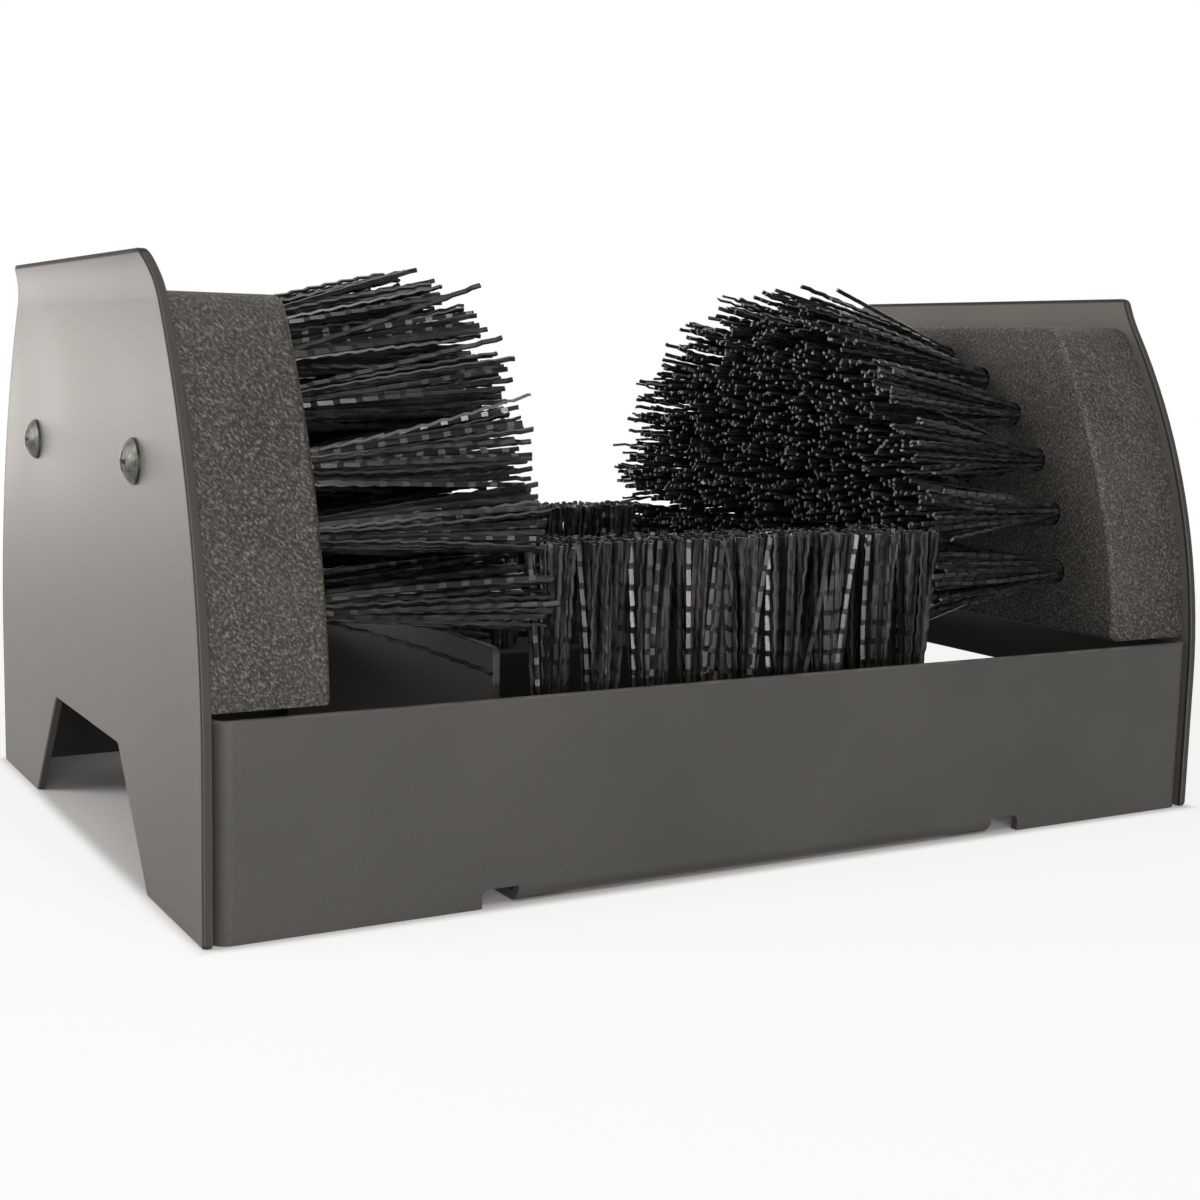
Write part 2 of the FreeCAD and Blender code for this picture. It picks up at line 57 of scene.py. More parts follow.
WARM_WHITE: Colour = (1.0, 0.965, 0.918)
WHITE: Colour = (1.0, 1.0, 1.0)
# The turn from one bristle of a tuft to the next, which spreads them evenly over the hole.
GOLDEN_TURN = 2.39996


class Side(Enum):
    """The two ends of the stand, with the sign of X there."""

    LEFT = -1
    RIGHT = 1

    def piece(self, name: str) -> str:
        """The name of a piece at this end."""
        return f"{self.name.lower()}_{name}"


class Strip(Enum):
    """The two bottom strips, with the sign of Y there."""

    FRONT = -1
    REAR = 1

    def piece(self, name: str) -> str:
        """The name of a piece of this strip."""
        return f"{self.name.lower()}_strip_{name}"


class Lie(Enum):
    """The way that a brush's bristles lie, with the number of that axis."""

    ACROSS = 0
    UPRIGHT = 2


class Value:
    """A number on its way through a material. Python sums on it add Math nodes."""

    def __init__(self, wiring: "Wiring", socket: Optional[bpy.types.NodeSocket]) -> None:
        """Wrap one output of a node, or None for a node that has no output."""
        self.wiring = wiring
        self.socket = socket

    def _maths(self, operation: str, first: Number, second: Number = 0.0) -> "Value":
        """Add a Math node with one or two inputs."""
        return self.wiring.node("ShaderNodeMath", {"operation": operation}, {0: first, 1: second})

    def __add__(self, other: Number) -> "Value":
        """This value plus another."""
        return self._maths("ADD", self, other)

    def __radd__(self, other: Number) -> "Value":
        """Another value plus this one."""
        return self._maths("ADD", other, self)

    def __sub__(self, other: Number) -> "Value":
        """This value less another."""
        return self._maths("SUBTRACT", self, other)

    def __rsub__(self, other: Number) -> "Value":
        """Another value less this one."""
        return self._maths("SUBTRACT", other, self)

    def __mul__(self, other: Number) -> "Value":
        """This value times another."""
        return self._maths("MULTIPLY", self, other)

    def __rmul__(self, other: Number) -> "Value":
        """Another value times this one."""
        return self._maths("MULTIPLY", other, self)

    def __pow__(self, power: Number) -> "Value":
        """This value to a power."""
        return self._maths("POWER", self, power)

    def __abs__(self) -> "Value":
        """This value without its sign."""
        return self._maths("ABSOLUTE", self)

    def at_least(self, other: Number) -> "Value":
        """The larger of this value and another."""
        return self._maths("MAXIMUM", self, other)

    def at_most(self, other: Number) -> "Value":
        """The smaller of this value and another."""
        return self._maths("MINIMUM", self, other)


class Wiring:
    """The nodes of one material, or of the world."""

    def __init__(self, tree: bpy.types.NodeTree) -> None:
        """Empty a node tree and start on it."""
        tree.nodes.clear()
        self.tree = tree

    def node(
        self, kind: str, settings: dict[str, Any], inputs: dict[Any, Any], output: Any = 0
    ) -> Value:
        """Add a node, set it, and feed its sockets.

        Args:
            kind: The node's type.
            settings: Its settings by name, set before any socket is touched.
            inputs: What goes in, by a socket's name or number: a value, a number or a colour.
            output: The name or number of the output that is wanted.

        Returns:
            The wanted output.
        """
        made = self.tree.nodes.new(kind)
        for name, setting in settings.items():
            setattr(made, name, setting)
        for key, fed in inputs.items():
            if isinstance(fed, Value):
                self.tree.links.new(fed.socket, made.inputs[key])
            else:
                made.inputs[key].default_value = fed
        return Value(self, made.outputs[output] if made.outputs else None)

    def place(self) -> Value:
        """Where a point of the surface lies, in metres in the part's frame."""
        return self.node("ShaderNodeTexCoord", {}, {}, "Object")

    def axes(self) -> tuple[Value, Value, Value]:
        """The three coordinates of a point of the surface."""
        place = self.place()
        return tuple(self.node("ShaderNodeSeparateXYZ", {}, {0: place}, i) for i in range(3))

    def ray(self, kind: str) -> Value:
        """1 for a ray of one kind, such as Camera, and 0 for any other."""
        return self.node("ShaderNodeLightPath", {}, {}, f"Is {kind} Ray")

    def stretched(
        self, place: Value, scale: Sequence[float], turn: Sequence[float] = (0, 0, 0)
    ) -> Value:
        """A pattern's coordinates, turned by radians and then made denser along each axis."""
        turned = self.node("ShaderNodeMapping", {}, {"Vector": place, "Rotation": turn})
        return self.node("ShaderNodeVectorMath", {"operation": "MULTIPLY"}, {0: turned, 1: scale})

    def noise(self, place: Value, size: float, detail: float = 2.0, rough: float = 0.5) -> Value:
        """A cloudy pattern from 0 to 1, with clouds of a size in metres and finer layers."""
        inputs = {"Vector": place, "Scale": 1 / size, "Detail": detail, "Roughness": rough}
        return self.node("ShaderNodeTexNoise", {}, inputs)

    def layered(self, first: Value, second: Value, share: float) -> Value:
        """Two patterns in one, with a share of the first and the rest of the second."""
        return first * share + second * (1 - share)

    def step(self, value: Value, start: float, end: float) -> Value:
        """A smooth step from 0 at one value to 1 at another."""
        inputs = {"Value": value, "From Min": start, "From Max": end}
        return self.node("ShaderNodeMapRange", {"interpolation_type": "SMOOTHSTEP"}, inputs)

    def blend(
        self, share: Number, first: Union[Value, Colour], second: Union[Value, Colour]
    ) -> Value:
        """A colour between two others.

        Args:
            share: How much of the second colour there is.
            first: The first colour.
            second: The second colour.

        Returns:
            The mixed colour.
        """
        whole = [c if isinstance(c, Value) else (*c, 1.0) for c in (first, second)]
        settings = {"data_type": "RGBA", "clamp_factor": True}
        return self.node("ShaderNodeMix", settings, {0: share, 6: whole[0], 7: whole[1]}, 2)

    def bump(self, height: Value, rise: float, strength: float = 1.0) -> Value:
        """A normal tilted by a pattern whose 1 stands a rise in metres above its 0."""
        inputs = {"Height": height, "Distance": rise, "Strength": strength}
        return self.node("ShaderNodeBump", {}, inputs, "Normal")


@dataclass(frozen=True)
class Finish:
    """A finish: its name, and a method that wires its surface."""

    name: str

    def surface(self, wiring: Wiring) -> Value:
        """The finish's shader, which each finish wires for itself."""
        raise NotImplementedError(self.name)

    def material(self) -> bpy.types.Material:
        """The finish as a material.

        Returns:
            A new material with this finish's nodes.
        """
        material = bpy.data.materials.new(self.name)
        material.use_nodes = True
        wiring = Wiring(material.node_tree)
        wiring.node("ShaderNodeOutputMaterial", {}, {"Surface": self.surface(wiring)})
        return material


@dataclass(frozen=True)
class PowderCoat(Finish):
    """Satin dark grey powder coat with a fine orange peel, in tones given for each sheet."""

    deep: Colour
    pale: Colour
    # Painted shade on the end plates; partly worn coat, partly painted highlight on the rails.
    edge: Colour
    edge_roughness: float = 0.3
    roughness: float = 0.42
    drift_roughness: float = 0.10
    grain_roughness: float = 0.06
    drift: float = 55 * MM
    drift_share: float = 0.55
    grain: float = 0.55 * MM
    tone_range: Range = (0.32, 0.68)
    peel: float = 1.5 * MM
    peel_share: float = 0.65
    peel_rise: float = 0.05 * MM
    peel_strength: float = 0.5

    def at_edge(self, wiring: Wiring) -> Value:
        """How far the edge colour shows, from 0 to 1, which each sheet wires for itself."""
        raise NotImplementedError(self.name)

    def surface(self, wiring: Wiring) -> Value:
        """Wire the coat.

        Args:
            wiring: The material's nodes.

        Returns:
            The coat's shader.
        """
        place = wiring.place()
        drift = wiring.noise(place, self.drift, 3.0)
        grain = wiring.noise(place, self.grain, 2.0, 0.6)
        peel = wiring.noise(place, self.peel, 1.0)
        tone = wiring.step(wiring.layered(drift, grain, self.drift_share), *self.tone_range)
        coat = wiring.blend(tone, self.deep, self.pale)
        # Edge colour: painted shade on the end plates; worn coat with painted highlight on the
        # rails.
        edge = self.at_edge(wiring)
        cloudy = self.roughness + drift * self.drift_roughness + grain * self.grain_roughness
        height = wiring.layered(peel, grain, self.peel_share)
        inputs = {
            "Base Color": wiring.blend(edge, coat, self.edge),
            "Roughness": edge * self.edge_roughness + cloudy,
            "Normal": wiring.bump(height, self.peel_rise, self.peel_strength),
            "Specular IOR Level": 0.4,
        }
        return wiring.node("ShaderNodeBsdfPrincipled", {}, inputs)


@dataclass(frozen=True)
class EndPlateCoat(PowderCoat):
    """An end plate's coat, with painted shade on cut faces and in a line beside the arch and top.
    """

    deep: Colour = (0.072, 0.0680, 0.0618)
    pale: Colour = (0.094, 0.0888, 0.0807)
    # Painted shade: the near-black colour of cut faces and of the line by the arch and the top.
    edge: Colour = (0.010, 0.0095, 0.009)
    height: float = 165 * MM
    radius: float = 204 * MM
    arc_start: float = 43 * MM
    half_depth: float = 110 * MM
    shade_line_start: Range = (0.05 * MM, 0.3 * MM)
    shade_line_end: Range = (0.8 * MM, 1.5 * MM)
    cut_facing: Range = (0.25, 0.45)
    cut_face_shade_share: float = 0.6

    def at_edge(self, wiring: Wiring) -> Value:
        """How far painted shade shows: on a cut face, or in the line by the arch and the top.

        Args:
            wiring: The material's nodes.

        Returns:
            1 in the line, less on a cut face, and 0 away from both.
        """
        _, y, z = wiring.axes()
        above = (z - self.arc_start).at_least(0.0)
        half = (self.radius ** 2 - above * above) ** 0.5 + (self.half_depth - self.radius)
        inside = (half - abs(y)).at_most(self.height - z)
        line = wiring.step(inside, *self.shade_line_start) * (1.0 - wiring.step(inside, *self.shade_line_end))
        facing = wiring.node("ShaderNodeNewGeometry", {}, {}, "True Normal")
        sideways = abs(wiring.node("ShaderNodeSeparateXYZ", {}, {0: facing}))
        cut = 1.0 - wiring.step(sideways, *self.cut_facing)
        return line.at_least(cut * self.cut_face_shade_share)


@dataclass(frozen=True)
class RailCoat(PowderCoat):
    """The channel's coat, paler in patches on the rails' top edges: part wear, part painted
    highlight.
    """

    # Painted shade: these tones are darker than the end plates', for the rails' fronts that get
    # less light.
    deep: Colour = (0.049, 0.0475, 0.0443)
    pale: Colour = (0.064, 0.0620, 0.0580)
    # Paler edge colour: partly worn coat, partly painted highlight.
    edge: Colour = (0.105, 0.100, 0.092)
    rail_height: float = 54.5 * MM
    rim: Range = (0.1 * MM, 0.6 * MM)
    patch: float = 7 * MM
    patch_range: Range = (0.36, 0.62)

    def at_edge(self, wiring: Wiring) -> Value:
        """How near a point is to a rail's top edge: worn coat there, with painted highlight.

        Args:
            wiring: The material's nodes.

        Returns:
            1 in a pale patch on the edge and 0 away from it.
        """
        _, _, z = wiring.axes()
        rim = 1.0 - wiring.step(abs(self.rail_height - z), *self.rim)
        patches = wiring.noise(wiring.place(), self.patch, 3.0)
        return rim * wiring.step(patches, *self.patch_range)


@dataclass(frozen=True)
class PebbledPlastic(Finish):
    """The brush blocks' moulded plastic: pebbled, with paler flecks that lean one way."""

    deep: Colour = (0.009, 0.0085, 0.0076)
    pale: Colour = (0.072, 0.0683, 0.0608)
    pale_range: Range = (0.46, 0.72)
    fleck: Colour = (0.27, 0.257, 0.230)
    fleck_range: Range = (0.54, 0.64)
    fleck_share: float = 0.5
    fleck_polish: float = 0.16
    roughness: float = 0.60
    pebble: float = 0.58 * MM
    pebble_stretch: float = 0.5
    pebble_share: float = 0.75
    pebble_rise: float = 0.3 * MM
    lean: float = math.radians(35)
    drift: float = 40 * MM
    drift_strength: float = 0.2

    def surface(self, wiring: Wiring) -> Value:
        """Wire the plastic.

        Args:
            wiring: The material's nodes.

        Returns:
            The plastic's shader.
        """
        place = wiring.place()
        scale, turn = (1.0, 1.0, self.pebble_stretch), (self.lean, self.lean, 0.0)
        pebbles = wiring.noise(wiring.stretched(place, scale, turn), self.pebble, 3.0, 0.65)
        fine = wiring.noise(place, self.pebble / 3, 1.0)
        drift = wiring.noise(place, self.drift, 2.0)
        height = wiring.layered(pebbles, fine, self.pebble_share)
        tone = wiring.step(height + drift * self.drift_strength, *self.pale_range)
        flecks = wiring.step(height, *self.fleck_range)
        plain = wiring.blend(tone, self.deep, self.pale)
        inputs = {
            "Base Color": wiring.blend(flecks * self.fleck_share, plain, self.fleck),
            "Roughness": self.roughness - flecks * self.fleck_polish,
            "Normal": wiring.bump(height, self.pebble_rise),
            "Specular IOR Level": 0.35,
        }
        return wiring.node("ShaderNodeBsdfPrincipled", {}, inputs)


@dataclass(frozen=True)
class BristleNylon(Finish):
    """Black nylon, with streaks of a slightly paler batch along the bristles."""

    along: Lie
    deep: Colour = (0.011, 0.011, 0.0105)
    pale: Colour = (0.035, 0.0345, 0.033)
    roughness: float = 0.24
    streak: float = 1.6 * MM
    streak_stretch: float = 0.06
    tone_range: Range = (0.40, 0.72)

    def surface(self, wiring: Wiring) -> Value:
        """Wire the nylon.

        Args:
            wiring: The material's nodes.

        Returns:
            The nylon's shader.
        """
        scale = [1.0, 1.0, 1.0]
        scale[self.along.value] = self.streak_stretch
        streaks = wiring.noise(wiring.stretched(wiring.place(), scale), self.streak, 1.0)
        tone = wiring.step(streaks, *self.tone_range)
        inputs = {
            "Base Color": wiring.blend(tone, self.deep, self.pale),
            "Roughness": self.roughness,
            "IOR": 1.53,
            "Specular IOR Level": 0.3,
        }
        return wiring.node("ShaderNodeBsdfPrincipled", {}, inputs)


@dataclass(frozen=True)
class CutNylon(BristleNylon):
    """The bristles' cut ends: the same nylon, matt and whitened by the blade."""

    deep: Colour = (0.06, 0.059, 0.055)
    pale: Colour = (0.3, 0.295, 0.273)
    roughness: float = 0.75


@dataclass(frozen=True)
class ScrewSteel(Finish):
    """Dull zinc-plated steel, speckled with tarnish, with painted shade inside the cross recess."""

    bright: Colour = (0.135, 0.14, 0.13)
    dull: Colour = (0.055, 0.058, 0.053)
    # Painted shade: the colour inside the cross recess.
    dark: Colour = (0.012, 0.012, 0.011)
    spacing: float = 109.2 * MM
    height: float = 112.2 * MM
    top: float = 168.4 * MM
    dome: float = 8.02 * MM
    recess_start: float = 0.15 * MM
    recess_full: float = 0.6 * MM
    recess_reach: Range = (3.2 * MM, 3.4 * MM)
    cloud: float = 2.2 * MM
    speck: float = 0.5 * MM
    tarnish_range: Range = (0.36, 0.62)
    cloud_share: float = 0.6
    metallic: float = 0.85
    recess_shade_metallic_loss: float = 0.6
    roughness: float = 0.36
    speck_roughness: float = 0.16
    pitting: float = 0.05 * MM
    pitting_cloud_share: float = 0.4
    pitting_strength: float = 0.6

    def in_recess(self, wiring: Wiring) -> Value:
        """How far a point lies under the head's dome, from 0 to 1.

        Args:
            wiring: The material's nodes.

        Returns:
            1 inside the cross recess and 0 on the dome.
        """
        x, y, z = wiring.axes()
        out = abs(x) - (self.top - self.dome)
        across = abs(y) - self.spacing / 2
        up = z - self.height
        beside = across * across + up * up
        full, start = self.dome - self.recess_full, self.dome - self.recess_start
        under = 1.0 - wiring.step((out * out + beside) ** 0.5, full, start)
        middle = 1.0 - wiring.step(beside ** 0.5, *self.recess_reach)
        return under * middle

    def surface(self, wiring: Wiring) -> Value:
        """Wire the plated steel.

        Args:
            wiring: The material's nodes.

        Returns:
            The steel's shader.
        """
        place = wiring.place()
        cloud = wiring.noise(place, self.cloud, 3.0, 0.6)
        speck = wiring.noise(place, self.speck, 2.0)
        clouded = wiring.layered(cloud, speck, self.cloud_share)
        tarnish = wiring.step(clouded, *self.tarnish_range)
        plating = wiring.blend(tarnish, self.dull, self.bright)
        recess = self.in_recess(wiring)
        pits = wiring.layered(cloud, speck, self.pitting_cloud_share)
        # Painted shade in the cross recess: a dark colour and less metallic sheen.
        inputs = {
            "Base Color": wiring.blend(recess, plating, self.dark),
            "Metallic": self.metallic - recess * self.recess_shade_metallic_loss,
            "Roughness": self.roughness + speck * self.speck_roughness,
            "Normal": wiring.bump(pits, self.pitting, self.pitting_strength),
        }
        return wiring.node("ShaderNodeBsdfPrincipled", {}, inputs)


@dataclass(frozen=True)
class StapleWire(Finish):
    """Drawn steel wire with fine lengthwise scratches."""

    bright: Colour = (0.42, 0.42, 0.41)
    dull: Colour = (0.22, 0.22, 0.215)
    scratch: float = 0.3 * MM
    scratch_stretch: float = 0.1
    scratch_range: Range = (0.35, 0.65)
    roughness: float = 0.3
    scratch_roughness: float = 0.2

    def surface(self, wiring: Wiring) -> Value:
        """Wire the drawn steel.

        Args:
            wiring: The material's nodes.

        Returns:
            The steel's shader.
        """
        along = wiring.stretched(wiring.place(), (1.0, self.scratch_stretch, 1.0))
        drawn = wiring.noise(along, self.scratch, 2.0)
        tone = wiring.step(drawn, *self.scratch_range)
        inputs = {
            "Base Color": wiring.blend(tone, self.dull, self.bright),
            "Metallic": 1.0,
            "Roughness": self.roughness + drawn * self.scratch_roughness,
        }
        return wiring.node("ShaderNodeBsdfPrincipled", {}, inputs)


@dataclass(frozen=True)
class Stock:
    """The flat crimped wire that every bristle is cut from. Lengths are in millimetres."""

    width: float = 1.25
    thickness: float = 0.72
    crimp_length: float = 6.0
    crimp_height: float = 0.23
    steep_share: float = 0.3
    straight_end: float = 0.3
    sunk: float = 2.0

    def bends(self, length: float, phase: float) -> tuple[np.ndarray, np.ndarray]:
        """Where the wire bends, and how far it stands aside there.

        Args:
            length: The bristle's length from its sunk end.
            phase: Where the crimp starts, as a share of one crimp.

        Returns:
            The bends' places along the bristle, and the wave's height at each.
        """
        count = int(length / self.crimp_length) + 3
        start = (np.arange(-1, count) + phase) * self.crimp_length
        places = np.stack([start, start + self.steep_share * self.crimp_length], axis=1).ravel()
        heights = np.tile([-self.crimp_height, self.crimp_height], len(start))
        kept = (places > self.straight_end) & (places < length - self.straight_end)
        ends = np.interp([0.0, length], places, heights)
        along = np.concatenate(([0.0], places[kept], [length]))
        return along, np.concatenate((ends[:1], heights[kept], ends[1:]))

    def faces(self, rings: int) -> np.ndarray:
        """The faces of a bristle with four corner points at each of its bends.

        Args:
            rings: How many bends there are, with both ends.

        Returns:
            Each face's four point numbers: the sides, the sunk end, and last the cut end.
        """
        ring = np.arange(rings - 1)[:, None] * 4
        corner = np.arange(4)[None, :]
        after = (corner + 1) % 4
        sides = [ring + corner, ring + after, ring + 4 + after, ring + 4 + corner]
        last = (rings - 1) * 4
        ends = [[3, 2, 1, 0]], [[last, last + 1, last + 2, last + 3]]
        return np.concatenate([np.stack(sides, axis=-1).reshape(-1, 4), *ends])


@dataclass(frozen=True)
class Tuft:
    """One bundle of bristles in its hole. Lengths are in millimetres, turns in radians."""

    hole: Point
    tip: Point
    hole_radius: float
    tip_radius: float
    count: int
    wander: float
    stray_share: float
    trim: float
    crimp_way: Point
    crimp_spread: float = 0.6
    stray_stretch: float = 4.0
    turn_spread: float = 0.45
    loose_share: float = 0.4
    phase_spread: float = 0.05
    bow: float = 0.7

    def bristles(
        self, stock: Stock, chance: np.random.Generator
    ) -> list[tuple[np.ndarray, np.ndarray]]:
        """Make the tuft's bristles.

        Args:
            stock: The wire they are cut from.
            chance: The source of the small differences between them.

        Returns:
            Each bristle's corner points, four to a bend, and its faces.
        """
        hole, tip = np.array(self.hole), np.array(self.tip)
        main = int(np.argmax(np.abs(tip - hole)))
        side, other = [i for i in range(3) if i != main]
        crimp_turn = chance.normal(0, self.crimp_spread)
        start = chance.uniform(0, 1)
        made = []
        for i in range(self.count):
            reach = math.sqrt((i + 0.5) / self.count)
            turn = i * GOLDEN_TURN + start
            spot = np.zeros(3)
            spot[side], spot[other] = reach * math.cos(turn), reach * math.sin(turn)
            drift = np.zeros(3)
            drift[[side, other]] = chance.normal(0, self.wander, 2)
            if chance.random() < self.stray_share:
                drift *= self.stray_stretch
            bottom = hole + spot * (self.hole_radius - stock.width / 2)
            top = tip + spot * self.tip_radius + drift
            top[main] += np.sign(hole[main] - tip[main]) * abs(chance.normal(0, self.trim))
            bristle_turn = crimp_turn + chance.normal(0, self.turn_spread)
            if chance.random() < self.loose_share:
                bristle_turn = chance.uniform(0, math.pi)
            phase = start + chance.normal(0, self.phase_spread)
            made.append(self._bristle(stock, bottom, top, bristle_turn, phase, chance))
        return made

    def _bristle(
        self,
        stock: Stock,
        bottom: np.ndarray,
        top: np.ndarray,
        turn: float,
        phase: float,
        chance: np.random.Generator,
    ) -> tuple[np.ndarray, np.ndarray]:
        """Sweep one bristle from its hole to its cut end.

        Args:
            stock: The wire it is cut from.
            bottom: Where it leaves the block's face.
            top: Its cut end.
            turn: How far its crimp is turned about its own line, away from the tuft's crimp way.
            phase: Where its crimp starts.
            chance: The source of its bow.

        Returns:
            Its corner points and its faces.
        """
        way = top - bottom
        length = float(np.linalg.norm(way))
        way = way / length
        first = np.array(self.crimp_way)
        first = first - way * float(first @ way)
        first /= np.linalg.norm(first)
        second = np.cross(way, first)
        rise = first * math.cos(turn) + second * math.sin(turn)
        broad = np.cross(way, rise)
        along, heights = stock.bends(length + stock.sunk, phase % 1.0)
        share = np.clip((along - stock.sunk) / length, 0, 1)
        bow = first * chance.normal(0, self.bow) + second * chance.normal(0, self.bow)
        line = bottom + np.outer(along - stock.sunk, way) + np.outer(np.sin(share * math.pi), bow)
        line += np.outer(heights, rise)
        up, out = rise * stock.thickness / 2, broad * stock.width / 2
        corners = np.array([up + out, up - out, -up - out, out - up])
        points = (line[:, None, :] + corners[None, :, :]).reshape(-1, 3)
        return points, stock.faces(len(along))


def bristle_mesh(
    name: str, tufts: Sequence[Tuft], stock: Stock, chance: np.random.Generator
) -> bpy.types.Object:
    """Make one object of all the bristles of some tufts, with their cut ends in the second slot.

    Args:
        name: The object's name.
        tufts: The tufts.
        stock: The wire that the bristles are cut from.
        chance: The source of the small differences between them.

    Returns:
        The new object.
    """
    bristles = [b for tuft in tufts for b in tuft.bristles(stock, chance)]
    shifts = np.cumsum([0] + [len(points) for points, _ in bristles])
    points = np.concatenate([p for p, _ in bristles]) * MM
    faces = np.concatenate([f + s for (_, f), s in zip(bristles, shifts)])
    mesh = bpy.data.meshes.new(name)
    mesh.from_pydata(points.tolist(), [], faces.tolist())
    slots = np.zeros(len(faces), dtype=np.int32)
    slots[np.cumsum([len(f) for _, f in bristles]) - 1] = 1
    mesh.polygons.foreach_set("material_index", slots)
    mesh.update()
    made = bpy.data.objects.new(name, mesh)
    bpy.context.scene.collection.objects.link(made)
    LOG.info("%s: %d bristles, %d faces", name, len(bristles), len(faces))
    return made


def stand_in_for(
    made: bpy.types.Object, node: str, sides: bpy.types.Material, ends: bpy.types.Material
) -> None:
    """Finish a bristle piece and let it stand for its CAD tufts.

    Args:
        made: The bristle piece.
        node: The CAD piece that it stands for.
        sides: The finish of the bristles' sides.
        ends: The finish of their cut ends.
    """
    made.data.materials.append(sides)
    made.data.materials.append(ends)
    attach(made, "root")
    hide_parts(node)


def dress(node: str, material: bpy.types.Material) -> None:
    """Give a CAD piece one finish all over.

    Args:
        node: The piece's name.
        material: Its finish.
    """
    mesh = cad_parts[node].data
    mesh.materials.clear()
    mesh.materials.append(material)
    LOG.info("%s: %s", node, material.name)


@dataclass
class Stand:
    """The bent sheet-steel stand."""

    plate_coat: EndPlateCoat = EndPlateCoat("end_plate_powder_coat")
    rail_coat: RailCoat = RailCoat("channel_powder_coat")

    def build(self) -> None:
        """Coat the end plates and the base channel."""
        plate = self.plate_coat.material()
        for side in Side:
            dress(side.piece("end_plate"), plate)
        dress("base_channel", self.rail_coat.material())


@dataclass
class Fixings:
    """The screws, and the staples at the bottom of the tufts' holes."""

    screw_steel: ScrewSteel = ScrewSteel("screw_zinc")
    staple_wire: StapleWire = StapleWire("staple_drawn_wire")

    def build(self) -> None:
        """Plate the screws and the staples."""
        screws, staples = self.screw_steel.material(), self.staple_wire.material()
        dress("strip_screws", screws)
        for side in Side:
            dress(side.piece("brush_screws"), screws)
            dress(side.piece("brush_staples"), staples)
        for strip in Strip:
            dress(strip.piece("staples"), staples)


@dataclass
class SideBrushes:
    """The brush at each side: its block, and bristles on arches that splay out.

    Lengths are in millimetres. The tufts high on the arch are cut shorter, and the bristles low at
    the front and rear stop where the bottom strips begin.
    """

    plastic: PebbledPlastic = PebbledPlastic("side_block_pebbled_plastic")
    nylon: BristleNylon = BristleNylon("side_bristle_nylon", Lie.ACROSS)
    cut_nylon: CutNylon = CutNylon("side_bristle_cut_ends", Lie.ACROSS)
    counts: tuple[int, ...] = (13, 11, 9, 6, 3)
    arch_half: float = 79.0
    arch_rise: float = 74.5
    arch_centre: float = 72.0
    end_lift: float = 3.4
    splay: float = 0.135
    block_face: float = 131.5
    tip_gap: float = 130.0
    hole_radius: float = 3.9
    tip_radius: float = 9.6
    bristles_in_tuft: int = 38
    wander: float = 1.7
    stray_share: float = 0.09
    trim: float = 1.3
    top_start: float = 78.0
    top_shortfall_share: float = 0.35
    low_reach: float = 65.0
    low_level: float = 96.0
    low_half: float = 68.0
    strays: tuple[tuple[Side, Point, Point], ...] = (
        (Side.LEFT, (-131.5, -79.0, 74.0), (-75.0, -80.0, 55.5)),
        (Side.LEFT, (-131.5, -20.0, 147.0), (-75.0, -27.0, 165.0)),
        (Side.RIGHT, (131.5, -20.0, 147.0), (71.0, -35.0, 164.8)),
    )
    seed: int = 100

    def holes(self, arch: int) -> list[tuple[float, float]]:
        """The places of the holes on one arch.

        Args:
            arch: The arch, counted from the outermost.

        Returns:
            Each hole's Y and Z.
        """
        share = 1 - arch / len(self.counts)
        half, rise = self.arch_half * share, self.arch_rise * share
        turn = math.pi / 2 - math.asin(self.end_lift / rise)
        turns = np.linspace(-turn, turn, self.counts[arch])
        return [(half * math.sin(t), self.arch_centre + rise * math.cos(t)) for t in turns]

    def tuft(self, side: Side, y: float, z: float) -> Tuft:
        """The tuft in one hole.

        Args:
            side: The end that its block is at.
            y: The hole's Y.
            z: The hole's Z.

        Returns:
            The tuft.
        """
        tip_y = y * (1 + self.splay)
        tip_z = self.arch_centre + (z - self.arch_centre) * (1 + self.splay)
        short = max(tip_z - self.arch_centre - self.top_start, 0) * self.top_shortfall_share
        reach = self.tip_gap / 2 + short
        if tip_z < self.low_level and abs(tip_y) > self.low_half:
            reach = self.low_reach
        return Tuft(
            hole=(side.value * self.block_face, y, z),
            tip=(side.value * reach, tip_y, tip_z),
            hole_radius=self.hole_radius,
            tip_radius=self.tip_radius,
            count=self.bristles_in_tuft,
            wander=self.wander,
            stray_share=self.stray_share,
            trim=self.trim,
            crimp_way=(0.0, y, z - self.arch_centre),
        )

    def stray(self, hole: Point, tip: Point) -> Tuft:
        """One bristle by itself.

        Args:
            hole: Where it leaves the block's face.
            tip: Its cut end.

        Returns:
            A tuft with that one bristle.
        """
        return Tuft(
            hole=hole,
            tip=tip,
            hole_radius=0.6,
            tip_radius=0.0,
            count=1,
            wander=0.0,
            stray_share=0.0,
            trim=0.0,
            crimp_way=(0.0, -1.0, 0.05),
            crimp_spread=0.0,
        )

    def tufts(self, side: Side, arch: int) -> list[Tuft]:
        """The tufts of one arch, with the strays after those of the outermost.

        Args:
            side: The end that the block is at.
            arch: The arch, counted from the outermost.

        Returns:
            The arch's tufts.
        """
        made = [self.tuft(side, y, z) for y, z in self.holes(arch)]
        if arch == 0:
            made += [self.stray(hole, tip) for at, hole, tip in self.strays if at is side]
        return made

    def build(self, stock: Stock) -> None:
        """Dress the side blocks and make their bristles.

        Args:
            stock: The wire that the bristles are cut from.
        """
        block, nylon, cut = (f.material() for f in (self.plastic, self.nylon, self.cut_nylon))
        for side in Side:
            dress(side.piece("brush_block"), block)
            for arch in range(len(self.counts)):
                chance = np.random.default_rng(self.seed * (side.value + 2) + arch)
                name = side.piece(f"brush_bristles_arch_{arch + 1}")
                made = bristle_mesh(name, self.tufts(side, arch), stock, chance)
                stand_in_for(made, side.piece(f"brush_tufts_arch_{arch + 1}"), nylon, cut)


